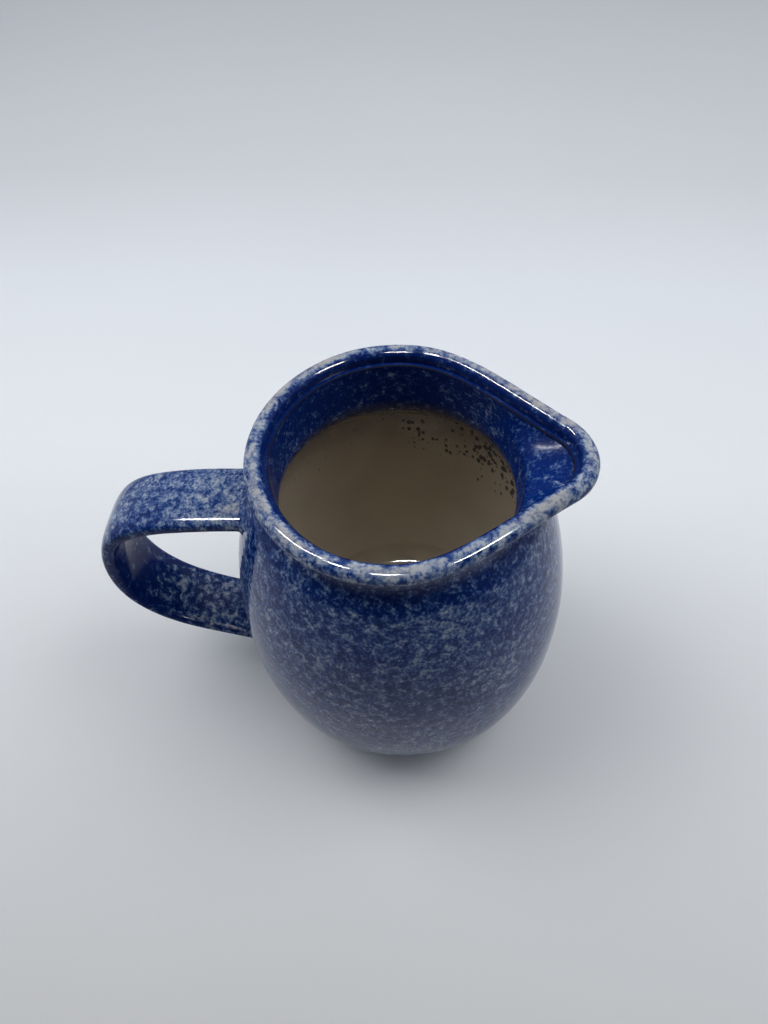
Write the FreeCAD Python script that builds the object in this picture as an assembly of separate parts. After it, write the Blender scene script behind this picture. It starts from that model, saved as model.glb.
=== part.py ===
"""Stoneware pitcher: round belly, short neck, rolled rim drawn out to a pouring spout, strap handle.

Frame: origin at the centre of the flat foot, +Z up, +X towards the spout tip, handle on -X.
All sizes are in millimetres. One STEP file per piece is written to parts/.
"""
import FreeCAD, Part
import math
import os

from FreeCAD import Vector

# ---- Overall height and belly -------------------------------------------------------------------
HEIGHT = 175.0            # foot to the top of the rim
FOOT_R = 48.0             # radius that the belly curve reaches at the standing plane
BELLY_R = 73.8            # widest radius
BELLY_Z = 69.0            # height of the widest radius
LOWER_POWER = 2.4         # fullness of the curve below the widest radius
UPPER_POWER = 2.13        # fullness of the curve above it
WALL = 5.5                # wall thickness of the belly
FLOOR_TOP = 8.0           # top of the slab that closes the bottom
FOOT_BEVEL = 1.5          # height of the bevel round the standing edge
FOOT_BEVEL_WIDTH = 2.1    # width of that bevel

# ---- Neck ---------------------------------------------------------------------------------------
NECK_R = 52.0             # outside radius of the short upright neck
NECK_FOOT_Z = 163.0       # height where the neck starts to flare out to the shoulder
NECK_FLARE = 14.0         # height over which it does so
NECK_BASE_Z = 150.0       # joint between the belly wall and the neck
THROAT_R = 46.9           # inside radius at that joint
THROAT_FLARE = 26.0       # height over which the inside opens from the throat to the belly
COVE = 12.0               # radius of the cove between the floor and the wall inside
CURVE_END_DROP = 14.0     # distance below the rim's top where the plain belly curve meets the neck's radius

# ---- Rim: a circle round the back, drawn out to a rounded tip ------------------------------------
RIM_R = 57.0              # outside radius round the back
SPOUT_REACH = 75.1        # axis to the outermost point of the tip
TIP_R = 23.1              # outside radius of the tip
TIP_HALF_ANGLE = 52.9     # degrees of tip arc each side of +X
BACK_ANGLE = 88.0         # degrees from +X where the round back starts
SIDE_EASE = 0.32          # length of the side curve's end tangents, as a share of its chord
RIM_WIDTH = 7.2           # plan width of the rolled rim
RIM_DEPTH = 5.6           # height of the rolled rim
RIM_OUTER_ROUND = 4.1     # rounding of its outer shoulder
RIM_INNER_ROUND = 2.9     # rounding of its inner shoulder
RIM_UNDER_ROUND = 1.4     # rounding of its lower outer edge
NECK_INSET = 4.6          # rim's outer edge to the neck's outside
LEDGE_INSET = 8.95        # rim's outer edge to the inner edge of the ledge under the rim

# ---- Spout channel and spout underside -----------------------------------------------------------
CHANNEL_Z = 161.0         # height where the sloping channel meets the upright neck wall
CHANNEL_R = 47.6          # inside radius of the neck there
CHANNEL_REACH = 49.4      # reach of the channel's foot along +X
CHANNEL_TIP_R = 43.6      # tip radius there
BEAK_MID_Z = 161.0        # section part way down the spout's underside
BEAK_MID_REACH = 62.3     # reach of the underside there
BEAK_MID_TIP_R = 24.0     # tip radius there
BEAK_FOOT_TIP_R = 40.0    # tip radius where the underside runs out on the shoulder
BEAK_BACK_R = (49.0, 50.0, 51.0)   # back radii of the spout's three sections, all inside the neck
BEAK_FOOT_SINK = 0.5      # how far the lowest section stays inside the shoulder

# ---- Handle: a flat strap bent to an ear ---------------------------------------------------------
STRAP_WIDTH = 31.0
STRAP_THICK = 8.0
STRAP_ROUND = 3.0         # rounding of the strap's long edges
STRAP_ROUTE = [           # corners of the strap's centre line in the XZ plane, before rounding
    (-45.0, 137.6),
    (-100.5, 134.4),
    (-127.3, 117.9),
    (-132.1, 94.3),
    (-130.9, 75.0),
    (-113.9, 49.5),
    (-58.0, 31.5),
]
BEND_SHARE = 0.45         # share of the shorter run that each bend takes
LUTING = 1.2              # thickness of the slip that joins the strap to the belly
LUTING_PROUD = 2.0        # how far the slip squeezes out round the strap

# ---- Construction --------------------------------------------------------------------------------
BOWL_POINTS = 13          # points on each profile curve of the belly below its widest ring
SHOULDER_POINTS = 15      # and above it
NECK_POINTS = 9           # on the neck's outside
FOOT_POINTS = 5           # on the side of the floor slab
TOUCHING = 0.01           # distance within which an edge counts as lying on an outline


def smooth_step(share):
    """0 below 0, 1 above 1, and an S-shaped rise between, with level ends."""
    t = min(max(share, 0.0), 1.0)
    return t * t * (3.0 - 2.0 * t)


def belly_curve(z):
    """Radius of the plain belly curve at height z."""
    if z <= BELLY_Z:
        power, end_r, span = LOWER_POWER, FOOT_R, BELLY_Z
    else:
        power, end_r, span = UPPER_POWER, NECK_R, HEIGHT - CURVE_END_DROP - BELLY_Z
    reach = span / (1.0 - (end_r / BELLY_R) ** 2) ** (1.0 / power)
    return BELLY_R * math.sqrt(1.0 - (abs(z - BELLY_Z) / reach) ** power)


def outer_radius(z):
    """Outside radius, with the shoulder flaring smoothly out of the neck."""
    flare = smooth_step((NECK_FOOT_Z - z) / NECK_FLARE)
    if flare == 0.0:
        return NECK_R
    return NECK_R + (belly_curve(min(z, NECK_FOOT_Z)) - NECK_R) * flare


def inner_radius(z):
    """Inside radius of the belly, opening out below the throat."""
    flare = smooth_step((NECK_BASE_Z - z) / THROAT_FLARE)
    return THROAT_R + (outer_radius(z) - WALL - THROAT_R) * flare


def profile_edge(radius_at, low, high, count, extra=0.0):
    """Smooth profile edge in the XZ plane through count points of a radius formula."""
    points = []
    for i in range(count):
        z = low + (high - low) * i / (count - 1)
        points.append(Vector(radius_at(z) + extra, 0, z))
    curve = Part.BSplineCurve()
    curve.interpolate(points)
    return curve.toShape()


def line(a, b):
    return Part.LineSegment(a, b).toShape()


def turned(edges):
    """Solid of revolution about the vertical axis from the edges of one half section."""
    face = Part.Face(Part.Wire(Part.__sortEdges__(edges)))
    return face.revolve(Vector(0, 0, 0), Vector(0, 0, 1), 360).removeSplitter()


def solid_of(shape):
    """The largest solid in a shape."""
    return max(shape.Solids, key=lambda s: s.Volume)


def teardrop(z, back_r, reach, tip_r):
    """Closed plan outline at height z: round back, eased sides and a rounded tip on +X."""
    tip = math.radians(TIP_HALF_ANGLE)
    back = math.radians(BACK_ANGLE)
    centre = reach - tip_r
    tip_end = Vector(centre + tip_r * math.cos(tip), tip_r * math.sin(tip), z)
    back_end = Vector(back_r * math.cos(back), back_r * math.sin(back), z)
    ease = SIDE_EASE * tip_end.distanceToPoint(back_end)
    leave = tip_end + Vector(-math.sin(tip), math.cos(tip), 0) * ease
    arrive = back_end - Vector(-math.sin(back), math.cos(back), 0) * ease

    def mirrored(p):
        return Vector(p.x, -p.y, p.z)

    left = Part.BezierCurve()
    left.setPoles([tip_end, leave, arrive, back_end])
    right = Part.BezierCurve()
    right.setPoles([mirrored(back_end), mirrored(arrive), mirrored(leave), mirrored(tip_end)])
    edges = [
        left.toShape(),
        Part.Arc(back_end, Vector(-back_r, 0, z), mirrored(back_end)).toShape(),
        right.toShape(),
        Part.Arc(mirrored(tip_end), Vector(reach, 0, z), tip_end).toShape(),
    ]
    return Part.Wire(edges)


def rim_outline(inset, z):
    """The rim's plan moved inwards by inset."""
    return teardrop(z, RIM_R - inset, SPOUT_REACH - inset, TIP_R - inset)


def round_edges(shape, radius, wanted):
    """Round every edge that the test picks."""
    picked = [e for e in shape.Edges if wanted(e)]
    return solid_of(shape.makeFillet(radius, picked))


def lies_on(edge, outline):
    """True for an edge whose middle lies on the outline."""
    middle = edge.valueAt((edge.FirstParameter + edge.LastParameter) / 2.0)
    return outline.distToShape(Part.Vertex(middle))[0] < TOUCHING


# ---- Turned pieces ---------------------------------------------------------------------------
def base_floor():
    """Slab that closes the bottom: flat foot, bevelled standing edge, side on the belly curve."""
    start = Vector(outer_radius(FOOT_BEVEL), 0, FOOT_BEVEL)
    stand = Vector(outer_radius(FOOT_BEVEL) - FOOT_BEVEL_WIDTH, 0, 0)
    edges = [
        line(Vector(0, 0, 0), stand),
        line(stand, start),
        profile_edge(outer_radius, FOOT_BEVEL, FLOOR_TOP, FOOT_POINTS),
        line(Vector(outer_radius(FLOOR_TOP), 0, FLOOR_TOP), Vector(0, 0, FLOOR_TOP)),
        line(Vector(0, 0, FLOOR_TOP), Vector(0, 0, 0)),
    ]
    return turned(edges)


def belly_wall():
    """Open bowl of the belly up to its widest ring, with a cove where it stands on the floor slab."""
    cove_top = FLOOR_TOP + COVE
    wall_foot = Vector(inner_radius(cove_top), 0, cove_top)
    cove_foot = Vector(wall_foot.x - COVE, 0, FLOOR_TOP)
    turn = COVE * math.sqrt(0.5)
    cove_mid = Vector(cove_foot.x + turn, 0, cove_top - turn)
    edges = [
        profile_edge(outer_radius, FLOOR_TOP, BELLY_Z, BOWL_POINTS),
        line(Vector(outer_radius(BELLY_Z), 0, BELLY_Z), Vector(inner_radius(BELLY_Z), 0, BELLY_Z)),
        profile_edge(inner_radius, cove_top, BELLY_Z, BOWL_POINTS),
        Part.Arc(wall_foot, cove_mid, cove_foot).toShape(),
        line(cove_foot, Vector(outer_radius(FLOOR_TOP), 0, FLOOR_TOP)),
    ]
    return turned(edges)


def shoulder_wall():
    """Ring that closes in from the widest part of the belly to the neck."""
    edges = [
        profile_edge(outer_radius, BELLY_Z, NECK_BASE_Z, SHOULDER_POINTS),
        line(Vector(outer_radius(NECK_BASE_Z), 0, NECK_BASE_Z), Vector(THROAT_R, 0, NECK_BASE_Z)),
        profile_edge(inner_radius, BELLY_Z, NECK_BASE_Z, SHOULDER_POINTS),
        line(Vector(inner_radius(BELLY_Z), 0, BELLY_Z), Vector(outer_radius(BELLY_Z), 0, BELLY_Z)),
    ]
    return turned(edges)


def body_outside(extra):
    """Filled volume inside the belly's outer surface moved out by extra."""
    low_r = outer_radius(FLOOR_TOP) + extra
    high_r = outer_radius(NECK_BASE_Z) + extra
    edges = [
        profile_edge(outer_radius, FLOOR_TOP, BELLY_Z, BOWL_POINTS, extra),
        profile_edge(outer_radius, BELLY_Z, NECK_BASE_Z, SHOULDER_POINTS, extra),
        line(Vector(high_r, 0, NECK_BASE_Z), Vector(0, 0, NECK_BASE_Z)),
        line(Vector(0, 0, NECK_BASE_Z), Vector(0, 0, FLOOR_TOP)),
        line(Vector(0, 0, FLOOR_TOP), Vector(low_r, 0, FLOOR_TOP)),
    ]
    return turned(edges)


# ---- Neck, rim and spout -----------------------------------------------------------------------
def neck_outside():
    """Filled volume of the neck, from the shoulder joint to the rim."""
    top = HEIGHT - RIM_DEPTH
    edges = [
        profile_edge(outer_radius, NECK_BASE_Z, NECK_FOOT_Z, NECK_POINTS),
        line(Vector(NECK_R, 0, NECK_FOOT_Z), Vector(NECK_R, 0, top)),
        line(Vector(NECK_R, 0, top), Vector(0, 0, top)),
        line(Vector(0, 0, top), Vector(0, 0, NECK_BASE_Z)),
        line(Vector(0, 0, NECK_BASE_Z), Vector(outer_radius(NECK_BASE_Z), 0, NECK_BASE_Z)),
    ]
    return turned(edges)


def neck_hollow():
    """Space inside the neck, with the sloping channel that runs up into the spout."""
    ledge = rim_outline(LEDGE_INSET, HEIGHT - RIM_DEPTH)
    foot = teardrop(CHANNEL_Z, CHANNEL_R, CHANNEL_REACH, CHANNEL_TIP_R)
    throat = teardrop(NECK_BASE_Z, THROAT_R, THROAT_R, THROAT_R)
    channel = Part.makeLoft([foot, ledge], True, True)
    shaft = Part.makeLoft([throat, foot], True, True)
    return channel.fuse(shaft)


def neck_collar(outside, hollow):
    """Upright ring between the shoulder and the rim, notched where the spout joins it."""
    return solid_of(outside.cut(hollow))


def spout_beak(outside, hollow):
    """Wedge luted to the front of the neck, which carries the rim out to the tip."""
    top = HEIGHT - RIM_DEPTH
    reach = SPOUT_REACH - NECK_INSET
    foot_reach = outer_radius(NECK_BASE_Z) - BEAK_FOOT_SINK
    foot_back, mid_back, top_back = BEAK_BACK_R
    sections = [
        teardrop(NECK_BASE_Z, foot_back, foot_reach, BEAK_FOOT_TIP_R),
        teardrop(BEAK_MID_Z, mid_back, BEAK_MID_REACH, BEAK_MID_TIP_R),
        teardrop(top, top_back, reach, TIP_R - NECK_INSET),
    ]
    wedge = Part.makeLoft(sections, True, False)
    return solid_of(wedge.cut(outside).cut(hollow))


def rim_roll():
    """Rolled rim: a ring of rounded section that follows the teardrop plan."""
    low = HEIGHT - RIM_DEPTH
    up = Vector(0, 0, RIM_DEPTH)
    filled = Part.Face(rim_outline(0.0, low)).extrude(up)
    opening = Part.Face(rim_outline(RIM_WIDTH, low)).extrude(up)
    ring = filled.cut(opening)
    outer_top = rim_outline(0.0, HEIGHT)
    inner_top = rim_outline(RIM_WIDTH, HEIGHT)
    outer_low = rim_outline(0.0, low)
    ring = round_edges(ring, RIM_OUTER_ROUND, lambda e: lies_on(e, outer_top))
    ring = round_edges(ring, RIM_INNER_ROUND, lambda e: lies_on(e, inner_top))
    return round_edges(ring, RIM_UNDER_ROUND, lambda e: lies_on(e, outer_low))


# ---- Handle --------------------------------------------------------------------------------------
def strap_path(offset):
    """Edges of the strap's centre line moved sideways by offset: straight runs and tangent bends."""
    runs = len(STRAP_ROUTE) - 1
    corners = [Vector(x, 0, z) for x, z in STRAP_ROUTE]
    ways = [(corners[i + 1] - corners[i]).normalize() for i in range(runs)]
    lengths = [(corners[i + 1] - corners[i]).Length for i in range(runs)]
    sides = [Vector(-w.z, 0, w.x) for w in ways]
    edges = []
    here = corners[0] + sides[0] * offset
    for i in range(1, runs):
        half_turn = ways[i - 1].getAngle(ways[i]) / 2.0
        cut = BEND_SHARE * min(lengths[i - 1], lengths[i])
        radius = cut / math.tan(half_turn)
        start = corners[i] - ways[i - 1] * cut
        end = corners[i] + ways[i] * cut
        centre = start + sides[i - 1] * radius
        inward = (corners[i] - centre).normalize()
        bend_r = radius - offset
        a = start + sides[i - 1] * offset
        b = end + sides[i] * offset
        edges.append(line(here, a))
        edges.append(Part.Arc(a, centre + inward * bend_r, b).toShape())
        here = b
    edges.append(line(here, corners[-1] + sides[-1] * offset))
    return edges


def long_strap(grow):
    """Whole strap running on into the belly, grown all round by grow."""
    half = STRAP_THICK / 2.0 + grow
    outer = strap_path(-half)
    inner = strap_path(half)
    ends = [
        line(outer[0].firstVertex().Point, inner[0].firstVertex().Point),
        line(outer[-1].lastVertex().Point, inner[-1].lastVertex().Point),
    ]
    wire = Part.Wire(Part.__sortEdges__(outer + inner + ends))
    wide = STRAP_WIDTH / 2.0 + grow
    face = Part.Face(wire)
    face.translate(Vector(0, -wide, 0))
    strap = face.extrude(Vector(0, 2.0 * wide, 0))

    tips = [Part.Wire(e) for e in ends]

    def is_long(edge):
        middle = edge.valueAt((edge.FirstParameter + edge.LastParameter) / 2.0)
        level = Part.Vertex(middle.x, 0, middle.z)
        on_side = abs(abs(middle.y) - wide) < TOUCHING
        at_end = min(tip.distToShape(level)[0] for tip in tips) < TOUCHING
        return on_side and not at_end

    return round_edges(strap, STRAP_ROUND, is_long)


def handle_strap():
    """The strap, ended just short of the belly by the thickness of the slip."""
    return solid_of(long_strap(0.0).cut(body_outside(LUTING)))


def handle_joints():
    """The two pads of slip between the strap's ends and the belly."""
    skin = body_outside(LUTING).cut(body_outside(0.0))
    pads = long_strap(LUTING_PROUD).common(skin).Solids
    upper = max(pads, key=lambda s: s.CenterOfMass.z)
    lower = min(pads, key=lambda s: s.CenterOfMass.z)
    return upper, lower


def main():
    outside = neck_outside()
    hollow = neck_hollow()
    upper, lower = handle_joints()
    pieces = {
        "base_floor": base_floor(),
        "belly_wall": belly_wall(),
        "shoulder_wall": shoulder_wall(),
        "neck_collar": neck_collar(outside, hollow),
        "rim_roll": rim_roll(),
        "spout_beak": spout_beak(outside, hollow),
        "handle_strap": handle_strap(),
        "handle_joint_upper": upper,
        "handle_joint_lower": lower,
    }
    os.makedirs("parts", exist_ok=True)
    for name, shape in pieces.items():
        shape.exportStep("parts/" + name + ".step")
        box = shape.BoundBox
        print(name, shape.isValid(), len(shape.Solids), round(shape.Volume), box)


main()
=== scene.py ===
"""Visual model of the stoneware pitcher: sponged cobalt glaze outside, cream liner glaze inside.

Every outline below is worked out in millimetres, in the frame of the CAD model: the axis of the belly
is Z, the spout points along +X, the handle along -X, and the foot stands at Z = 0.
"""

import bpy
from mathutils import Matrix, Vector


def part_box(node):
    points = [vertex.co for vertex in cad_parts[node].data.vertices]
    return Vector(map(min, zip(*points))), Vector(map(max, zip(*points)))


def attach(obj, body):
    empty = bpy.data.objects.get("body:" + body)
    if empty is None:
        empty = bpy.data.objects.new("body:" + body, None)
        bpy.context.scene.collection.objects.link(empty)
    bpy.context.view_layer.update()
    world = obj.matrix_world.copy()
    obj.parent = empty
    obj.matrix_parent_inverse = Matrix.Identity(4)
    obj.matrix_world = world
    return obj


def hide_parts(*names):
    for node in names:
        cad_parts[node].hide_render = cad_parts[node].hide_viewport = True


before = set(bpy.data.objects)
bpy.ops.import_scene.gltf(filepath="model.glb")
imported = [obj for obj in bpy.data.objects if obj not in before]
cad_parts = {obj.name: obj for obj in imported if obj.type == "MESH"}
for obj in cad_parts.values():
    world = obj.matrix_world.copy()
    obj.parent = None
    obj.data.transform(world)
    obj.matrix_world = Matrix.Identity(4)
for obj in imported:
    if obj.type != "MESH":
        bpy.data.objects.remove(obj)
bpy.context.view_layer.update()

import math

import bmesh
import bpy
import numpy as np
from mathutils import Matrix, Vector, noise

MM = 0.001


def node_box(node):
    """Lowest and highest corners of a CAD node, in millimetres."""
    low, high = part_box(node)
    return np.array(low) / MM, np.array(high) / MM


RIM_LOW, RIM_HIGH = node_box("rim_roll")
BELLY_HIGH = node_box("belly_wall")[1]
SHOULDER_HIGH = node_box("shoulder_wall")[1]
FLOOR_HIGH = node_box("base_floor")[1]
STRAP_LOW, STRAP_HIGH = node_box("handle_strap")

# ---- Sizes read from the frame -------------------------------------------------------------------
HEIGHT = RIM_HIGH[2]
RIM_BASE_Z = RIM_LOW[2]
SPOUT_REACH = RIM_HIGH[0]
RIM_R = -RIM_LOW[0]
BELLY_R = BELLY_HIGH[1]
BELLY_Z = BELLY_HIGH[2]
NECK_BASE_Z = SHOULDER_HIGH[2]
FLOOR_TOP = FLOOR_HIGH[2]
STRAP_WIDTH = STRAP_HIGH[1] - STRAP_LOW[1]

# ---- Sizes shared with the CAD source ------------------------------------------------------------
FOOT_R = 48.0
LOWER_POWER = 2.4
UPPER_POWER = 2.13
WALL = 5.5
FOOT_BEVEL = 1.5
NECK_R = 52.0
NECK_FOOT_Z = 163.0
NECK_FLARE = 14.0
THROAT_R = 46.9
THROAT_FLARE = 26.0
COVE = 12.0
TIP_R = 23.1
TIP_HALF_ANGLE = math.radians(52.9)
BACK_ANGLE = math.radians(88.0)
SIDE_EASE = 0.32
CURVE_END_DROP = 14.0
BEAK_FOOT_Z = 143.0
BEAK_FOOT_REACH = 51.0
BEAK_FOOT_TIP_R = 44.0
RIM_WIDTH = 7.2
NECK_INSET = 4.6
LEDGE_INSET = 8.95
CHANNEL_Z = 161.0
CHANNEL_R = 47.6
CHANNEL_REACH = 49.4
LUTING = 1.2

# ---- Sizes of the finish -------------------------------------------------------------------------
COLUMNS = 288             # divisions round the pot
BEAK_HALF_ANGLE = math.radians(62.5)   # half of the front sector that belongs to the spout
BEAK_BLEND = 4.0          # width of the soft valley between the neck and the spout's underside
BEAK_BACK_SINK = 5.0      # how far inside the neck the spout's outline starts at the back
BEAK_RISE = 6.0           # height over which the spout grows out of the shoulder
WAVER = 0.35              # how far the hand-thrown surface strays
WAVER_SPAN = 28.0         # size of those undulations
RIPPLE = 0.07             # depth of the throwing rings on the wall
RIPPLE_PITCH = 5.2        # spacing of the throwing rings
CREASE = 2.2              # softness of the fold where the channel meets the neck
RIM_GAP = 0.05            # clearance between the neck's top and the rim roll
LEDGE_SOFT = 0.95         # height over which the ledge's edge is rounded
LEDGE_DEPTH = 1.5         # height of the ledge's upright face
PLAIN_NECK_Z = 156.0      # level above which the neck's outside has no throwing rings
STRAP_HUB = (-80.0, 88.0) # a point inside the finger gap, in the XZ plane
ROLL_OUTER_W = 4.05       # width and height of the rim roll's outer quarter
ROLL_OUTER_H = 4.15
ROLL_INNER_H = 3.2        # height of its inner quarter
ROLL_TUCK = 1.1           # radius of the roll's lower outer edge
ROLL_STEPS = 420          # divisions along the rim
OUTSIDE = -60.0           # liner depth of every surface that the liner glaze doesn't reach
FLOOR_DEPTH = 140.0       # liner depth of the inside floor
CLAY_TOP = 3.0            # height of the band at the foot that is left bare


# ---- Curves --------------------------------------------------------------------------------------
def smooth_step(share):
    """Soft climb from 0 to 1 as share goes from 0 to 1."""
    t = np.clip(share, 0.0, 1.0)
    return t * t * (3.0 - 2.0 * t)


def belly_curve(z):
    """Radius of the plain belly curve at height z."""
    if z <= BELLY_Z:
        power, end_r, span = LOWER_POWER, FOOT_R, BELLY_Z
    else:
        power, end_r, span = UPPER_POWER, NECK_R, HEIGHT - CURVE_END_DROP - BELLY_Z
    reach = span / (1.0 - (end_r / BELLY_R) ** 2) ** (1.0 / power)
    return BELLY_R * math.sqrt(1.0 - (abs(z - BELLY_Z) / reach) ** power)


def outer_radius(z):
    """Outside radius of belly, shoulder and neck, away from the spout."""
    flare = smooth_step((NECK_FOOT_Z - z) / NECK_FLARE)
    return NECK_R + (belly_curve(min(z, NECK_FOOT_Z - 1.0)) - NECK_R) * flare


def inner_radius(z):
    """Inside radius of the belly, opening out below the throat."""
    flare = smooth_step((NECK_BASE_Z - z) / THROAT_FLARE)
    return THROAT_R + (outer_radius(z) - WALL - THROAT_R) * flare


def bezier(p0, p1, p2, p3, count):
    """count points of a cubic Bezier curve."""
    t = np.linspace(0.0, 1.0, count)[:, None]
    return (1 - t) ** 3 * p0 + 3 * (1 - t) ** 2 * t * p1 + 3 * (1 - t) * t * t * p2 + t ** 3 * p3


def teardrop(back_r, reach, tip_r, dense=160):
    """Plan outline of the mouth, once round from the middle of the tip: points and inward normals."""
    centre = reach - tip_r
    a = np.linspace(0.0, TIP_HALF_ANGLE, dense)
    tip = np.stack([centre + tip_r * np.cos(a), tip_r * np.sin(a)], -1)
    b = np.linspace(BACK_ANGLE, math.pi, dense * 2)
    back = back_r * np.stack([np.cos(b), np.sin(b)], -1)
    ease = SIDE_EASE * np.linalg.norm(back[0] - tip[-1])
    leave = tip[-1] + ease * np.array([-math.sin(TIP_HALF_ANGLE), math.cos(TIP_HALF_ANGLE)])
    arrive = back[0] - ease * np.array([-math.sin(BACK_ANGLE), math.cos(BACK_ANGLE)])
    side = bezier(tip[-1], leave, arrive, back[0], dense)
    half = np.concatenate([tip, side[1:-1], back])
    mirror = (half * [1, -1])[-2:0:-1]
    points = np.concatenate([half, mirror])
    along = np.roll(points, -1, 0) - np.roll(points, 1, 0)
    along /= np.linalg.norm(along, axis=1)[:, None]
    return points, np.stack([-along[:, 1], along[:, 0]], -1)


MOUTH, MOUTH_IN = teardrop(RIM_R, SPOUT_REACH, TIP_R)
PHI = np.linspace(0.0, 2.0 * math.pi, COLUMNS, endpoint=False)


def polar(points, phi=PHI):
    """Radius of a closed plan outline at each angle."""
    angle = np.unwrap(np.arctan2(points[:, 1], points[:, 0]))
    radius = np.linalg.norm(points, axis=1)
    return np.interp(phi, angle, radius, period=2.0 * math.pi)


def inset_radius(inset, phi=PHI):
    """Polar radius of the mouth's plan moved inwards by inset."""
    return polar(MOUTH + MOUTH_IN * inset, phi)


def smooth_max(a, b, width):
    """Larger of two radii, with a rounded valley where they cross."""
    h = np.clip(0.5 + 0.5 * (a - b) / width, 0.0, 1.0)
    return b + (a - b) * h + width * h * (1.0 - h) * 0.5


def beak_radius(z, phi):
    """Plan radius of the spout's outside at height z: drawn out at the rim, run out on the shoulder."""
    up = np.clip((z - BEAK_FOOT_Z) / (RIM_BASE_Z - BEAK_FOOT_Z), 0.0, 1.0)
    reach = BEAK_FOOT_REACH + (SPOUT_REACH - NECK_INSET - BEAK_FOOT_REACH) * up ** 1.55
    tip_r = BEAK_FOOT_TIP_R + (TIP_R - NECK_INSET - BEAK_FOOT_TIP_R) * up ** 0.8
    foot_back_r = NECK_R - BEAK_BACK_SINK
    back_r = foot_back_r + (RIM_R - NECK_INSET - foot_back_r) * up ** 1.5
    return polar(teardrop(back_r, reach, min(tip_r, reach * 0.98))[0], phi)


def outside(z, phi=PHI):
    """Outer radius at height z for each angle, spout included."""
    plain = np.full_like(phi, outer_radius(z))
    if z < BEAK_FOOT_Z:
        return plain
    share = smooth_step((z - BEAK_FOOT_Z) / BEAK_RISE)
    return plain + (smooth_max(beak_radius(z, phi), plain, BEAK_BLEND) - plain) * share


# ---- Mesh building -------------------------------------------------------------------------------
def strays(p):
    """Small shift that makes the surface look hand thrown; the foot stays flat."""
    sway = noise.noise_vector(p / WAVER_SPAN) * WAVER
    sway.z *= 0.6
    hold = smooth_step((p.z - 1.0) / 12.0)
    return sway * hold


MARKS = {"thin": 0.0, "liner": OUTSIDE, "patchy": 0.0, "dull": 0.0}


def make_piece(name, grid, wrap=(True, True), **marks):
    """Closed mesh from a grid of points (around, along, xyz) in millimetres.

    wrap says which way the grid closes on itself, and an open way is closed by flat ends. The marks
    tell the glaze where it runs thinly and where painted light and shade lighten and darken it, how deep
    a point lies in the cream liner, where the sponge left larger dabs and how dull the gloss is; from
    one half upwards the dull edge is painted near black, a bare edge darkened as painted shade.
    """
    around, along = grid.shape[:2]
    mesh = bmesh.new()
    layers = {key: mesh.verts.layers.float.new(key) for key in MARKS}
    values = {key: np.broadcast_to(marks.get(key, rest), (around, along)) for key, rest in MARKS.items()}
    verts = []
    for i in range(around):
        line = []
        for j in range(along):
            p = Vector(grid[i, j])
            v = mesh.verts.new((p + strays(p)) * MM)
            for key, layer in layers.items():
                v[layer] = float(values[key][i, j])
            line.append(v)
        verts.append(line)
    for i in range(around if wrap[0] else around - 1):
        for j in range(along if wrap[1] else along - 1):
            a, b = (i + 1) % around, (j + 1) % along
            mesh.faces.new((verts[i][j], verts[a][j], verts[a][b], verts[i][b]))
    if not wrap[0]:
        mesh.faces.new(verts[0])
        mesh.faces.new(verts[-1])
    if not wrap[1]:
        mesh.faces.new([line[0] for line in verts])
        mesh.faces.new([line[-1] for line in verts])
    bmesh.ops.recalc_face_normals(mesh, faces=mesh.faces[:])
    data = bpy.data.meshes.new(name)
    mesh.to_mesh(data)
    mesh.free()
    data.shade_smooth()
    data.set_sharp_from_angle(angle=math.radians(40.0))
    piece = bpy.data.objects.new(name, data)
    bpy.context.collection.objects.link(piece)
    return piece


def lathe(profile):
    """Grid of a turned form from (radius, z) pairs; a radius may be an array, one for each angle."""
    grid = np.zeros((COLUMNS, len(profile), 3))
    for j, (r, z) in enumerate(profile):
        radius = r if isinstance(r, np.ndarray) else np.full(COLUMNS, float(r))
        grid[:, j, 0] = radius * np.cos(PHI)
        grid[:, j, 1] = radius * np.sin(PHI)
        grid[:, j, 2] = z
    return grid


def spaced(low, high, step, close=0.15):
    """Heights from low to high about step apart, with one more very near each end."""
    count = max(3, int(round((high - low) / step)) + 1)
    heights = np.linspace(low, high, count)
    return np.concatenate([[low, low + close], heights[1:-1], [high - close, high]])


def ripple(z):
    """Throwing rings: the faint ridges left by the potter's fingers."""
    return RIPPLE * math.sin(2.0 * math.pi * z / RIPPLE_PITCH)


def own_finish(piece, node, material):
    """Gives a finished piece its material, hides the CAD node that it stands for and hangs it under the
    root body.
    """
    piece.data.materials.append(material)
    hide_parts(node)
    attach(piece, "root")


# ---- Pieces of the body --------------------------------------------------------------------------
def base_floor():
    """Slab of the bottom: flat foot, small bevel, side and inside floor."""
    rows = [(2.0, 0.0)]
    stand = outer_radius(FOOT_BEVEL) - FOOT_BEVEL * 1.4
    rows += [(r, 0.0) for r in np.linspace(8.0, stand - 0.5, 10)]
    rows += [(stand, 0.08), (stand + 0.9, 0.6), (outer_radius(FOOT_BEVEL) - 0.25, 1.15)]
    rows += [(outer_radius(z), z) for z in spaced(FOOT_BEVEL, FLOOR_TOP, 1.0)]
    rows += [(r, FLOOR_TOP) for r in np.linspace(outer_radius(FLOOR_TOP) - 1.0, 2.0, 24)]
    grid = lathe(rows)
    inside = [z >= FLOOR_TOP and r < outer_radius(FLOOR_TOP) - 0.5 for r, z in rows]
    liner = np.where(inside, FLOOR_DEPTH, OUTSIDE)
    return make_piece("base_floor_piece", grid, wrap=(True, False), liner=liner)


def wall_outer(low, high):
    """Outer rows of the turned wall between two heights."""
    return [(outside(z) + ripple(z), z) for z in spaced(low, high, 1.8)]


def wall_inner(low, high):
    """Inner rows of the turned wall from high down to low."""
    return [(inner_radius(z) - 0.8 * ripple(z), z) for z in spaced(low, high, 1.8)[::-1]]


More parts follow.
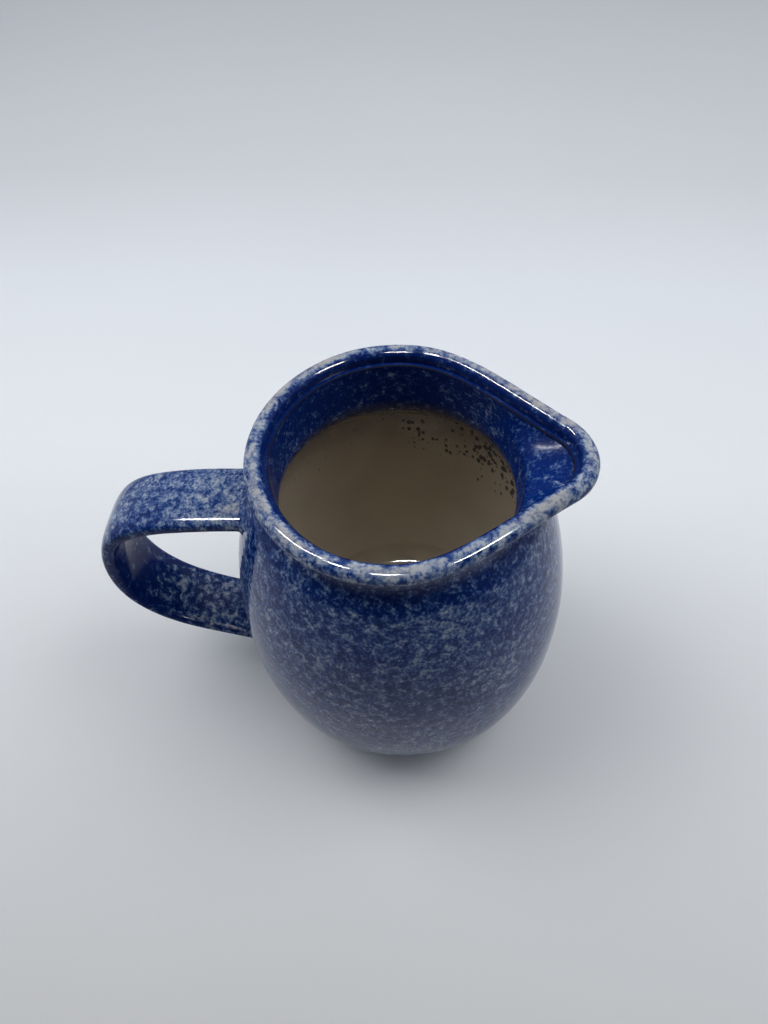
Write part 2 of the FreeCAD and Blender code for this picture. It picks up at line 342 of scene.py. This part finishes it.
def turned_wall(name, outer, inner):
    """Closed ring of wall; the inside carries its depth below the neck for the liner glaze."""
    depth = [OUTSIDE] * len(outer) + [NECK_BASE_Z - z for _, z in inner]
    thin = [0.0] * len(outer) + [-0.75] * len(inner)
    return make_piece(name, lathe(outer + inner), liner=depth, thin=thin)


def belly_wall():
    """Lower half of the thrown wall, with the cove that meets the floor inside."""
    cove_top = FLOOR_TOP + COVE
    inner = wall_inner(cove_top, BELLY_Z)
    foot_r = inner_radius(cove_top)
    for turn in np.radians(np.linspace(8.0, 90.0, 12)):
        inner.append((foot_r - COVE + COVE * math.cos(turn), cove_top - COVE * math.sin(turn)))
    return turned_wall("belly_wall_piece", wall_outer(FLOOR_TOP, BELLY_Z), inner)


def shoulder_wall():
    """Upper half of the thrown wall, from the widest ring to the foot of the neck."""
    outer = wall_outer(BELLY_Z, NECK_BASE_Z)
    return turned_wall("shoulder_wall_piece", outer, wall_inner(BELLY_Z, NECK_BASE_Z))


def fold(p0, p1, p2, soft, count):
    """Two straight runs p0-p1-p2 with a soft fold at p1, about count points to each run."""
    a, b = p0 - p1, p2 - p1
    reach_a = min(soft, 0.45 * np.linalg.norm(a))
    reach_b = min(soft, 0.45 * np.linalg.norm(b))
    start = p1 + a / np.linalg.norm(a) * reach_a
    end = p1 + b / np.linalg.norm(b) * reach_b
    bend = [(1 - t) ** 2 * start + 2 * t * (1 - t) * p1 + t * t * end for t in np.linspace(0, 1, 7)]
    first = [p0 + (start - p0) * t for t in np.linspace(0, 1, count)[:-1]]
    last = [end + (p2 - end) * t for t in np.linspace(0, 1, count)[1:]]
    return first + bend + last


def neck_rows(phi):
    """Closed profile rows of the neck for the given angles: outside, top, ledge, channel and throat."""
    def at(radius, z):
        radius = np.broadcast_to(radius, phi.shape)
        return np.stack([radius * np.cos(phi), radius * np.sin(phi), np.full_like(phi, z)], -1)

    rows, thin, liner, dull = [], [], [], []

    def add(points, thinness, depth=OUTSIDE, dullness=0.0):
        rows.append(points)
        thin.append(thinness)
        liner.append(np.broadcast_to(depth, phi.shape))
        dull.append(dullness)

    top = RIM_BASE_Z - RIM_GAP
    # Painted shade: the neck's outside gets a thinness of -0.4, which darkens the band lying in shade
    # under the rim.
    for z in spaced(NECK_BASE_Z, top, 0.9):
        rings = ripple(z) * smooth_step((PLAIN_NECK_Z - z) / (PLAIN_NECK_Z - NECK_BASE_Z))
        add(at(outside(z, phi) + rings, z), -0.4)
    add(at(inset_radius(NECK_INSET + 1.2, phi), top), 0.0)
    add(at(inset_radius(RIM_WIDTH - 0.6, phi), top), 0.0)
    add(at(inset_radius(RIM_WIDTH + 0.15, phi), top), -1.0)
    # The ledge's edge rows are dull; from one half upwards their colour is painted near black as shade
    # at the step.
    add(at(inset_radius(LEDGE_INSET - 0.75, phi), top), -0.9, dullness=0.5)
    add(at(inset_radius(LEDGE_INSET - 0.3, phi), top - 0.12), -0.9, dullness=1.0)
    add(at(inset_radius(LEDGE_INSET - 0.05, phi), top - 0.45), -0.9, dullness=1.0)
    add(at(inset_radius(LEDGE_INSET, phi), top - LEDGE_SOFT), -0.9, dullness=0.5)
    ledge = at(inset_radius(LEDGE_INSET, phi), top - LEDGE_DEPTH)
    channel_outline = teardrop(CHANNEL_R, CHANNEL_REACH, CHANNEL_R - 4.0)[0]
    channel = at(polar(channel_outline, phi), CHANNEL_Z)
    throat = at(THROAT_R, NECK_BASE_Z)
    columns = [fold(ledge[i], channel[i], throat[i], CREASE, 9) for i in range(len(phi))]
    for k in range(len(columns[0])):
        points = np.array([c[k] for c in columns])
        add(points, -0.75, NECK_BASE_Z - points[:, 2], dullness=0.38)
    return np.stack(rows, 1), {"thin": thin, "liner": np.stack(liner, 1), "dull": dull}


BEAK_COLUMNS = int(math.ceil(BEAK_HALF_ANGLE / (2.0 * math.pi) * COLUMNS))   # on each side of +X


def neck_collar():
    """The neck, all but its front sector."""
    phi = PHI[BEAK_COLUMNS:COLUMNS - BEAK_COLUMNS + 1]
    grid, marks = neck_rows(phi)
    return make_piece("neck_collar_piece", grid, (False, True), **marks)


def spout_beak():
    """Front sector of the neck, drawn out to the spout and hollowed to its channel."""
    phi = np.concatenate([PHI[COLUMNS - BEAK_COLUMNS:] - 2.0 * math.pi, PHI[:BEAK_COLUMNS + 1]])
    grid, marks = neck_rows(phi)
    return make_piece("spout_beak_piece", grid, (False, True), **marks)


# ---- Rim -----------------------------------------------------------------------------------------
def rim_section():
    """Section of the rolled rim: (inset, z, thinness) once round, from the inner foot up and over."""
    inner_w = RIM_WIDTH - ROLL_OUTER_W
    rows = [(RIM_WIDTH, RIM_BASE_Z, -1.2), (RIM_WIDTH, RIM_BASE_Z + 0.6, -1.0)]
    rows.append((RIM_WIDTH, RIM_BASE_Z + 1.5, -0.8))
    for turn in np.radians(np.linspace(0.0, 90.0, 9)):
        inset = RIM_WIDTH - inner_w * (1.0 - math.cos(turn))
        z = HEIGHT - ROLL_INNER_H * (1.0 - math.sin(turn))
        rows.append((inset, z, -1.0 + 2.3 * math.sin(turn) ** 5))
    for turn in np.radians(np.linspace(8.0, 90.0, 11)):
        inset = ROLL_OUTER_W * (1.0 - math.sin(turn))
        z = HEIGHT - ROLL_OUTER_H * (1.0 - math.cos(turn))
        rows.append((inset, z, 1.3 - 0.65 * math.sin(turn) ** 1.5))
    rows.append((0.0, RIM_BASE_Z + 1.15, 0.3))
    for turn in np.radians(np.linspace(12.0, 90.0, 6)):
        inset = ROLL_TUCK * (1.0 - math.cos(turn))
        z = RIM_BASE_Z + 1.05 * (1.0 - math.sin(turn))
        rows.append((inset, z, 0.3))
    rows.append((NECK_INSET - 0.6, RIM_BASE_Z, -0.6))
    rows.append((NECK_INSET + 0.8, RIM_BASE_Z, -0.6))
    return rows


def rim_roll():
    """The rolled rim: its section carried once round the mouth's outline."""
    section = rim_section()
    step = np.linalg.norm(np.roll(MOUTH, -1, 0) - MOUTH, axis=1)
    length = np.concatenate([[0.0], np.cumsum(step)])
    at = np.linspace(0.0, length[-1], ROLL_STEPS, endpoint=False)
    closed = np.concatenate([MOUTH, MOUTH[:1]])
    inward = np.concatenate([MOUTH_IN, MOUTH_IN[:1]])
    plan = np.stack([np.interp(at, length, closed[:, k]) for k in range(2)], -1)
    side = np.stack([np.interp(at, length, inward[:, k]) for k in range(2)], -1)
    grid = np.zeros((len(at), len(section), 3))
    for j, (inset, z, _) in enumerate(section):
        grid[:, j, :2] = plan + side * inset
        grid[:, j, 2] = z
    thin = [thinness for _, _, thinness in section]
    return make_piece("rim_roll_piece", grid, thin=thin, patchy=0.45)


# ---- Handle --------------------------------------------------------------------------------------
STRAP_POLES = [           # poles of the strap's centre line in the XZ plane
    (-46.0, 137.8),
    (-70.0, 136.8),
    (-101.0, 134.2),
    (-126.0, 121.6),
    (-132.3, 97.0),
    (-131.3, 72.4),
    (-113.0, 48.0),
    (-84.0, 39.5),
    (-52.0, 30.0),
]
STRAP_STEPS = 150         # divisions along the whole strap
SECTION_STEPS = 44        # and round its section
STRAP_BOW = 0.02          # share by which the strap is wider at the bend than at its ends
STRAP_HALF_THICK = 3.95   # half its thickness at the upper root
STRAP_SWELL = 0.40        # half of what it gains at the bend
STRAP_TAPER = 0.45        # half of what it loses towards the lower end
FINISHED_STEPS = 110      # divisions of the part between the joints
FILLET_STRAP = 2.6        # how far the slip climbs along the strap
FILLET_BODY = 2.8         # how far it spreads on the belly


def spline(poles, steps):
    """Clamped uniform cubic B-spline through the pull of its poles."""
    poles = np.array(poles, float)
    n = len(poles)
    knots = np.concatenate([[0.0] * 3, np.linspace(0.0, 1.0, n - 2), [1.0] * 3])
    out = []
    for t in np.linspace(0.0, 1.0, steps):
        k = min(max(np.searchsorted(knots, t, side="right") - 1, 3), n - 1)
        d = [poles[j + k - 3].copy() for j in range(4)]
        for r in range(1, 4):
            for j in range(3, r - 1, -1):
                low = knots[j + k - 3]
                a = (t - low) / (knots[j + 1 + k - r] - low)
                d[j] = (1.0 - a) * d[j - 1] + a * d[j]
        out.append(d[3])
    return np.array(out)


def strap_surface():
    """Points, thinness and dullness of the whole strap, which runs on into the belly at both ends."""
    centre = spline(STRAP_POLES, STRAP_STEPS * 4)
    step = np.linalg.norm(np.diff(centre, axis=0), axis=1)
    length = np.concatenate([[0.0], np.cumsum(step)])
    at = np.linspace(0.0, length[-1], STRAP_STEPS)
    centre = np.stack([np.interp(at, length, centre[:, k]) for k in range(2)], -1)
    along = np.gradient(centre, axis=0)
    along /= np.linalg.norm(along, axis=1)[:, None]
    out = np.stack([-along[:, 1], along[:, 0]], -1)      # away from the finger gap
    out *= np.sign((out * (centre - STRAP_HUB)).sum(1))[:, None]
    share = at / length[-1]
    half_w = STRAP_WIDTH / 2.0 * (1.01 - STRAP_BOW * np.cos(2.0 * math.pi * share))
    half_t = STRAP_HALF_THICK + STRAP_SWELL * np.sin(math.pi * share) - STRAP_TAPER * share
    points = np.zeros((STRAP_STEPS, SECTION_STEPS, 3))
    thin = np.zeros((STRAP_STEPS, SECTION_STEPS))
    dull = np.zeros((STRAP_STEPS, SECTION_STEPS))
    lower_run = smooth_step((share - 0.5) / 0.1)
    # The strap's outer face is paler near the upper root: partly real beige patches where the glaze runs
    # thinly, partly painted light on the face that looks up. Its inner face is dark over the upper run
    # and the bend and lighter along the lower run: partly cobalt pooled in the bend, partly painted
    # shade where the face looks down at the body. Both side edges are made darker.
    pale_and_lit_root = 0.25 + 0.75 * (1.0 - smooth_step(share / 0.30))
    pooled_and_shaded_bend = -1.0 + 1.2 * smooth_step((share - 0.55) / 0.25)
    for j, v in enumerate(np.linspace(0.0, 2.0 * math.pi, SECTION_STEPS, endpoint=False)):
        power = 3.0 if math.sin(v) > 0 else 4.2
        across = math.copysign(abs(math.cos(v)) ** (2.0 / power), math.cos(v))
        lift = math.copysign(abs(math.sin(v)) ** (2.0 / power), math.sin(v))
        points[:, j, 0] = centre[:, 0] + out[:, 0] * half_t * lift
        points[:, j, 1] = half_w * across
        points[:, j, 2] = centre[:, 1] + out[:, 1] * half_t * lift
        thin[:, j] = (pale_and_lit_root if lift > 0 else pooled_and_shaded_bend) - 0.5 * abs(across) ** 4
        dull[:, j] = (0.30 + 0.15 * lower_run) * abs(across) ** 4
    return points, thin, dull


def radial_gap(p):
    """Distance of a point outside the belly's surface, measured level."""
    return math.hypot(p[0], p[1]) - outer_radius(p[2])


def crossing(line, low, high):
    """Fractional index where a run of points crosses the belly's surface, between two indices."""
    for _ in range(40):
        middle = (low + high) / 2.0
        if radial_gap(sample(line, middle)) > 0.0:
            high = middle
        else:
            low = middle
    return (low + high) / 2.0


def sample(line, index):
    """Point of a run at a fractional index."""
    i = int(min(max(math.floor(index), 0), len(line) - 2))
    return line[i] + (line[i + 1] - line[i]) * (index - i)


def on_belly(p, sink):
    """The point of the belly's surface on the same level and bearing, sunk a little."""
    scale = (outer_radius(p[2]) - sink) / math.hypot(p[0], p[1])
    return np.array([p[0] * scale, p[1] * scale, p[2]])


def joint_piece(name, points, cuts, rise):
    """Fillet of slip round one end of the strap, from rise steps up the strap down onto the belly."""
    columns = range(SECTION_STEPS)
    root = np.array([sample(points[:, j], cuts[j]) for j in columns])
    climb = np.array([sample(points[:, j], cuts[j] + rise) for j in columns])
    centre = root.mean(0)
    around = np.roll(root, -1, 0) - np.roll(root, 1, 0)
    facing = np.array([centre[0], 0.0, 0.0]) / abs(centre[0])
    spread = np.cross(around, facing)
    spread /= np.linalg.norm(spread, axis=1)[:, None]
    spread *= np.sign((spread * (root - centre)).sum(1))[:, None]
    landing = np.array([on_belly(p, 0.04) for p in root + spread * FILLET_BODY])
    rows = [climb + (centre - climb) * 0.35]
    for t in np.linspace(0.0, 1.0, 9):
        rows.append((1 - t) ** 2 * climb + 2 * t * (1 - t) * root + t * t * landing)
    rows.append(np.array([on_belly(p, LUTING) for p in landing]))
    share = np.linspace(0.0, 1.0, len(rows))
    thin = 0.1 - 0.5 * np.sin(math.pi * share)
    return make_piece(name, np.stack(rows, 1), (True, False), thin=thin)


def strap_piece(points, thin, dull, starts, ends):
    """The strap's surface between the tops of its two fillets."""
    grid = np.zeros((FINISHED_STEPS, SECTION_STEPS, 3))
    near_thin = np.zeros((FINISHED_STEPS, SECTION_STEPS))
    near_dull = np.zeros((FINISHED_STEPS, SECTION_STEPS))
    for j in range(SECTION_STEPS):
        for i, share in enumerate(np.linspace(0.0, 1.0, FINISHED_STEPS)):
            index = starts[j] + (ends[j] - starts[j]) * share
            grid[i, j] = sample(points[:, j], index)
            near_thin[i, j] = thin[int(index), j]
            near_dull[i, j] = dull[int(index), j]
    inner_face = np.arange(SECTION_STEPS) > SECTION_STEPS // 2
    marks = {"thin": near_thin, "dull": near_dull, "patchy": inner_face}
    return make_piece("handle_strap_piece", grid, (False, True), **marks)


def handle_pieces():
    """The two fillets of slip on the belly, and the strap between them."""
    points, thin, dull = strap_surface()
    rise = FILLET_STRAP / np.linalg.norm(points[1:, 0] - points[:-1, 0], axis=1).mean()
    middle = STRAP_STEPS // 2
    columns = range(SECTION_STEPS)
    starts = np.array([crossing(points[:, j], 0, middle) for j in columns])
    ends = STRAP_STEPS - 1 - np.array([crossing(points[::-1, j], 0, middle) for j in columns])
    upper = joint_piece("handle_joint_upper_piece", points, starts, rise)
    lower = joint_piece("handle_joint_lower_piece", points, ends, -rise)
    strap = strap_piece(points, thin, dull, starts + rise, ends - rise)
    return strap, upper, lower


# ---- Materials -----------------------------------------------------------------------------------
class Shader:
    """Short hand for building a node material."""

    def __init__(self, name):
        self.material = bpy.data.materials.new(name)
        self.material.use_nodes = True
        self.tree = self.material.node_tree
        self.tree.nodes.clear()
        self.output = self.tree.nodes.new("ShaderNodeOutputMaterial")
        self.surface = self.tree.nodes.new("ShaderNodeBsdfPrincipled")
        self.tree.links.new(self.surface.outputs[0], self.output.inputs["Surface"])
        self.place = self.tree.nodes.new("ShaderNodeTexCoord").outputs["Object"]

    def join(self, value, socket):
        if isinstance(value, bpy.types.NodeSocket):
            self.tree.links.new(value, socket)
        elif value is not None:
            socket.default_value = value

    def math(self, operation, a, b=None, c=None, clamp=False):
        node = self.tree.nodes.new("ShaderNodeMath")
        node.operation = operation
        node.use_clamp = clamp
        for value, socket in zip((a, b, c), node.inputs):
            self.join(value, socket)
        return node.outputs[0]

    def noise(self, scale, detail=3.0, roughness=0.55, distortion=0.0):
        node = self.tree.nodes.new("ShaderNodeTexNoise")
        self.join(self.place, node.inputs["Vector"])
        node.inputs["Scale"].default_value = scale
        node.inputs["Detail"].default_value = detail
        node.inputs["Roughness"].default_value = roughness
        node.inputs["Distortion"].default_value = distortion
        return node.outputs["Fac"]

    def part_of(self, vector, axis):
        """One of a vector's three numbers."""
        node = self.tree.nodes.new("ShaderNodeSeparateXYZ")
        self.join(vector, node.inputs[0])
        return node.outputs[axis]

    def cells(self, scale, place):
        """Distance to the middle of the nearest cell, and a random number for that cell."""
        node = self.tree.nodes.new("ShaderNodeTexVoronoi")
        self.join(place, node.inputs["Vector"])
        node.inputs["Scale"].default_value = scale
        node.inputs["Randomness"].default_value = 1.0
        return node.outputs["Distance"], self.part_of(node.outputs["Color"], 0)

    def stretched(self, scale):
        node = self.tree.nodes.new("ShaderNodeMapping")
        self.join(self.place, node.inputs["Vector"])
        node.inputs["Scale"].default_value = scale
        return node.outputs[0]

    def attribute(self, name):
        node = self.tree.nodes.new("ShaderNodeAttribute")
        node.attribute_name = name
        return node.outputs["Fac"]

    def step(self, value, low, high, top=1.0, base=0.0):
        node = self.tree.nodes.new("ShaderNodeMapRange")
        node.interpolation_type = "SMOOTHSTEP"
        for key, number in (("From Min", low), ("From Max", high), ("To Min", base), ("To Max", top)):
            node.inputs[key].default_value = number
        self.join(value, node.inputs["Value"])
        return node.outputs[0]

    def ramp(self, value, stops):
        node = self.tree.nodes.new("ShaderNodeValToRGB")
        ramp = node.color_ramp
        while len(ramp.elements) < len(stops):
            ramp.elements.new(0.5)
        for element, (position, colour) in zip(ramp.elements, stops):
            element.position = position
            element.color = (*colour, 1.0)
        self.join(value, node.inputs["Fac"])
        return node.outputs["Color"]

    def blend(self, share, a, b, mode="MIX"):
        node = self.tree.nodes.new("ShaderNodeMix")
        node.data_type = "RGBA"
        node.blend_type = mode
        self.join(share, node.inputs["Factor"])
        for value, socket in ((a, node.inputs[6]), (b, node.inputs[7])):
            self.join((*value, 1.0) if isinstance(value, tuple) else value, socket)
        return node.outputs[2]

    def swing(self, value, reach, centre):
        """centre plus reach times how far a noise value strays from its middle."""
        return self.math("MULTIPLY_ADD", self.math("SUBTRACT", value, 0.5), reach, centre)

    def bump(self, height, strength, distance):
        node = self.tree.nodes.new("ShaderNodeBump")
        node.inputs["Strength"].default_value = strength
        node.inputs["Distance"].default_value = distance
        self.join(height, node.inputs["Height"])
        self.join(node.outputs[0], self.surface.inputs["Normal"])


GRAIN_SCALE = 830.0       # one sponge speck is a little over a millimetre
DAB_SCALE = 290.0         # one dab of the sponge is about three millimetres
CLOUD_SCALE = 45.0        # the colour thickens and thins over a few centimetres


def sponge_tone(s, grain, dabs, cloud):
    """How much of the ground shows through the sponged cobalt, from 0 at its thickest upwards."""
    tone = s.swing(dabs, 0.80, s.swing(grain, 0.80, 0.5))
    tone = s.swing(cloud, 0.30, tone)
    tone = s.math("MULTIPLY_ADD", s.attribute("thin"), 0.15, tone)
    larger_dabs = s.math("MULTIPLY", s.attribute("patchy"), 0.6)
    return s.math("MULTIPLY_ADD", s.math("SUBTRACT", dabs, 0.5), larger_dabs, tone)


def sponged_colour(s, tone, dabs, cloud):
    """Cobalt over the pale ground: deep where it pools, buff where it runs thinly, and near black at the
    dry ledge edge, a bare edge darkened as painted shade.
    """
    thin = s.attribute("thin")
    sponge = s.ramp(tone, [
        (0.18, (0.0010, 0.0075, 0.065)),
        (0.35, (0.0024, 0.0140, 0.095)),
        (0.42, (0.0045, 0.0240, 0.125)),
        (0.49, (0.019, 0.052, 0.175)),
        (0.58, (0.062, 0.100, 0.218)),
        (0.70, (0.165, 0.212, 0.310)),
        (0.84, (0.310, 0.345, 0.395)),
    ])
    pooled = s.step(s.swing(dabs, 1.2, thin), -1.0, -0.4, 0.0, 0.55)
    sponge = s.blend(pooled, sponge, (0.0014, 0.0175, 0.140))
    buff = s.step(s.swing(cloud, 2.2, s.swing(dabs, 1.0, thin)), 0.80, 1.70)
    colour = s.blend(s.math("MULTIPLY", buff, 0.6), sponge, (0.300, 0.270, 0.240))
    # Painted shade: where the dullness passes one half the colour goes near black; the ledge's edge is
    # really a bare line of clay, and its darkness stands in for the shade at the step.
    dry = s.step(s.attribute("dull"), 0.5, 1.0)
    return s.blend(dry, colour, (0.016, 0.017, 0.030))


def liner_colour(s, cloud):
    """Cream glaze with painted shade darkening it near the throat, and sprayed with dark specks, mostly
    on the spout's side.
    """
    liner = s.attribute("liner")
    warm = s.noise(24.0, 3.0, 0.5)
    cream = s.ramp(warm, [(0.35, (0.50, 0.437, 0.345)), (0.65, (0.57, 0.502, 0.40))])
    # Painted shade: the cream darkens to grey near the throat, where the shoulder hangs over it.
    throat_shade = s.step(s.swing(cloud, 24.0, liner), 12.0, 54.0, 0.0, 0.75)
    cream = s.blend(throat_shade, cream, (0.10, 0.098, 0.105))
    sprayed = s.step(s.part_of(s.place, 0), -0.030, 0.042, 1.20, 0.40)
    reach = s.step(liner, 30.0, 92.0, 0.0, 1.0)
    patch = s.step(cloud, 0.38, 0.60, 1.0, 0.5)
    largest = s.math("MULTIPLY", s.math("MULTIPLY", sprayed, reach), patch)
    distance, chance = s.cells(430.0, s.stretched((1.0, 1.0, 0.55)))
    size = s.math("MULTIPLY", largest, chance)
    specks = s.math("MULTIPLY", s.math("SUBTRACT", size, distance), 6.0, clamp=True)
    return s.blend(s.math("MULTIPLY", specks, 0.82), cream, (0.010, 0.016, 0.050))


def pitcher_glaze():
    """Sponged cobalt under a clear gloss outside and round the mouth, and the cream liner inside."""
    s = Shader("sponged_blue_glaze")
    grain = s.noise(GRAIN_SCALE, 2.0, 0.55, 0.3)
    dabs = s.noise(DAB_SCALE, 2.0, 0.5, 0.4)
    cloud = s.noise(CLOUD_SCALE, 2.0, 0.5)
    tone = sponge_tone(s, grain, dabs, cloud)
    edge = s.swing(dabs, 14.0, s.swing(grain, 9.0, s.attribute("liner")))
    share = s.step(edge, 5.0, 14.0)
    colour = s.blend(share, sponged_colour(s, tone, dabs, cloud), liner_colour(s, cloud))
    s.join(colour, s.surface.inputs["Base Color"])
    dull = s.attribute("dull")
    s.join(s.math("MULTIPLY_ADD", dull, 0.25, 0.09), s.surface.inputs["Roughness"])
    shine = s.math("MULTIPLY_ADD", dull, -0.4, 0.2, clamp=True)
    s.join(shine, s.surface.inputs["Specular IOR Level"])
    s.surface.inputs["IOR"].default_value = 1.5
    peel = s.noise(150.0, 2.0, 0.5)
    s.bump(s.math("MULTIPLY_ADD", tone, 0.25, peel), 0.25, 0.00012)
    return s.material


def bare_clay():
    """Unglazed stoneware of the foot."""
    s = Shader("bare_stoneware")
    grit = s.noise(900.0, 4.0, 0.7)
    body = s.noise(60.0, 3.0, 0.55)
    tone = s.math("MULTIPLY_ADD", s.math("SUBTRACT", grit, 0.5), 0.5, body)
    colour = s.ramp(tone, [
        (0.30, (0.19, 0.135, 0.09)),
        (0.55, (0.34, 0.265, 0.185)),
        (0.75, (0.46, 0.38, 0.28)),
    ])
    s.join(colour, s.surface.inputs["Base Color"])
    s.surface.inputs["Roughness"].default_value = 0.82
    s.bump(grit, 0.5, 0.0003)
    return s.material


def floor_material():
    """Pale matt sheet with painted shade: darker towards the front, and darker and cooler far back where
    a backdrop would start to rise.
    """
    s = Shader("pale_table")
    along = s.math("ADD", s.part_of(s.place, 1), 0.25)
    # Painted shade: the table darkens towards the front and again far back, with a cooler tint at the
    # back.
    tone = s.ramp(along, [
        (0.00, (0.46, 0.46, 0.46)),
        (0.20, (0.64, 0.65, 0.665)),
        (0.39, (0.735, 0.755, 0.775)),
        (0.56, (0.715, 0.745, 0.785)),
        (0.72, (0.650, 0.665, 0.700)),
    ])
    mottle = s.ramp(s.noise(3.0, 3.0, 0.5), [(0.3, (0.97, 0.97, 0.97)), (0.7, (1.0, 1.0, 1.0))])
    s.join(s.blend(1.0, tone, mottle, "MULTIPLY"), s.surface.inputs["Base Color"])
    s.surface.inputs["Roughness"].default_value = 0.9
    s.surface.inputs["Specular IOR Level"].default_value = 0.0
    return s.material


# ---- Stage, light and camera ---------------------------------------------------------------------
TABLE_HALF = 3.0                                 # metres from the middle of the table to its edge
CAMERA_AT = Vector((0.0212, -0.1831, 0.3929))   # metres, in the pitcher's frame
CAMERA_HEADING = 8.404                           # degrees that the view turns from +Y to -X
CAMERA_DIP = 54.601                              # degrees below level
CAMERA_ROLL = -4.053                             # degrees
CAMERA_LENS = 27.04                              # millimetres on a 36 mm frame
ROOM_DIM = 0.05                                  # brightness of the room on the camera's side
ROOM_BRIGHT = 0.72                               # brightness of the rest of it
ROOM_SEEN = 0.8                                  # brightness of the backdrop


def add_camera():
    dip, roll = math.radians(CAMERA_DIP), math.radians(CAMERA_ROLL)
    ahead = Vector((0.0, math.cos(dip), -math.sin(dip)))
    right = Vector((1.0, 0.0, 0.0))
    up = right.cross(ahead)
    tilted_right = right * math.cos(roll) + up * math.sin(roll)
    tilted_up = up * math.cos(roll) - right * math.sin(roll)
    turn = Matrix.Rotation(math.radians(CAMERA_HEADING), 3, "Z")
    axes = Matrix((turn @ tilted_right, turn @ tilted_up, turn @ -ahead)).transposed()
    data = bpy.data.cameras.new("camera")
    data.lens = CAMERA_LENS
    data.sensor_width = 36.0
    camera = bpy.data.objects.new("camera", data)
    camera.matrix_world = Matrix.Translation(CAMERA_AT) @ axes.to_4x4()
    bpy.context.collection.objects.link(camera)
    bpy.context.scene.camera = camera


def add_lamp(name, at, aim, size, power, shows_in):
    """Flat lamp. It either lights the pitcher softly or only shows in its gloss."""
    data = bpy.data.lights.new(name, "AREA")
    data.shape = "RECTANGLE"
    data.size, data.size_y = size
    data.energy = power
    light = bpy.data.objects.new(name, data)
    way = Vector(aim) - Vector(at)
    light.matrix_world = Matrix.Translation(at) @ way.to_track_quat("-Z", "Y").to_matrix().to_4x4()
    light.visible_glossy = shows_in == "gloss"
    light.visible_diffuse = shows_in == "diffuse"
    bpy.context.collection.objects.link(light)


def room():
    """Pale room all round, dim on the side where the camera stands."""
    world = bpy.data.worlds.new("room")
    world.use_nodes = True
    tree = world.node_tree
    new, link = tree.nodes.new, tree.links.new
    way = new("ShaderNodeSeparateXYZ")
    link(new("ShaderNodeTexCoord").outputs["Generated"], way.inputs[0])
    front = new("ShaderNodeMapRange")
    front.interpolation_type = "SMOOTHSTEP"
    front.inputs["From Min"].default_value = -0.65
    front.inputs["From Max"].default_value = 0.05
    front.inputs["To Min"].default_value = ROOM_DIM
    front.inputs["To Max"].default_value = ROOM_BRIGHT
    link(way.outputs[1], front.inputs["Value"])
    strength = new("ShaderNodeMix")
    link(new("ShaderNodeLightPath").outputs["Is Camera Ray"], strength.inputs["Factor"])
    link(front.outputs[0], strength.inputs[2])
    strength.inputs[3].default_value = ROOM_SEEN
    background = tree.nodes["Background"]
    background.inputs["Color"].default_value = (0.90, 0.94, 1.0, 1.0)
    link(strength.outputs[0], background.inputs["Strength"])
    return world


def add_stage():
    mesh = bmesh.new()
    bmesh.ops.create_grid(mesh, x_segments=1, y_segments=1, size=TABLE_HALF)
    data = bpy.data.meshes.new("table")
    mesh.to_mesh(data)
    mesh.free()
    table = bpy.data.objects.new("table", data)
    data.materials.append(floor_material())
    bpy.context.collection.objects.link(table)
    bpy.context.scene.world = room()
    bpy.context.scene.view_settings.view_transform = "Standard"
    pot = (0.0, 0.0, 0.10)
    rim = (0.0, -0.03, 0.17)
    add_lamp("overhead_left", (-0.48, 0.08, 0.95), pot, (0.55, 0.55), 4.5, "diffuse")
    add_lamp("overhead_right", (0.50, 0.12, 0.95), pot, (0.5, 0.5), 3.6, "diffuse")
    add_lamp("strip_front", (0.00, -0.33, 0.70), rim, (0.15, 0.04), 6.0, "gloss")
    add_lamp("strip_right", (0.45, -0.27, 0.62), rim, (0.22, 0.05), 9.0, "gloss")
    add_lamp("strip_corner", (-0.19, -0.12, 0.70), rim, (0.09, 0.05), 5.5, "gloss")
    add_lamp("strip_left", (-0.33, 0.01, 0.70), rim, (0.036, 0.24), 6.0, "gloss")


def main():
    glaze = pitcher_glaze()
    clay = bare_clay()
    floor = base_floor()
    own_finish(floor, "base_floor", clay)
    floor.data.materials.append(glaze)
    for face in floor.data.polygons:
        if face.center.z > CLAY_TOP * MM:
            face.material_index = 1
    own_finish(belly_wall(), "belly_wall", glaze)
    own_finish(shoulder_wall(), "shoulder_wall", glaze)
    own_finish(neck_collar(), "neck_collar", glaze)
    own_finish(spout_beak(), "spout_beak", glaze)
    own_finish(rim_roll(), "rim_roll", glaze)
    strap, upper, lower = handle_pieces()
    own_finish(strap, "handle_strap", glaze)
    own_finish(upper, "handle_joint_upper", glaze)
    own_finish(lower, "handle_joint_lower", glaze)
    add_stage()
    add_camera()


main()
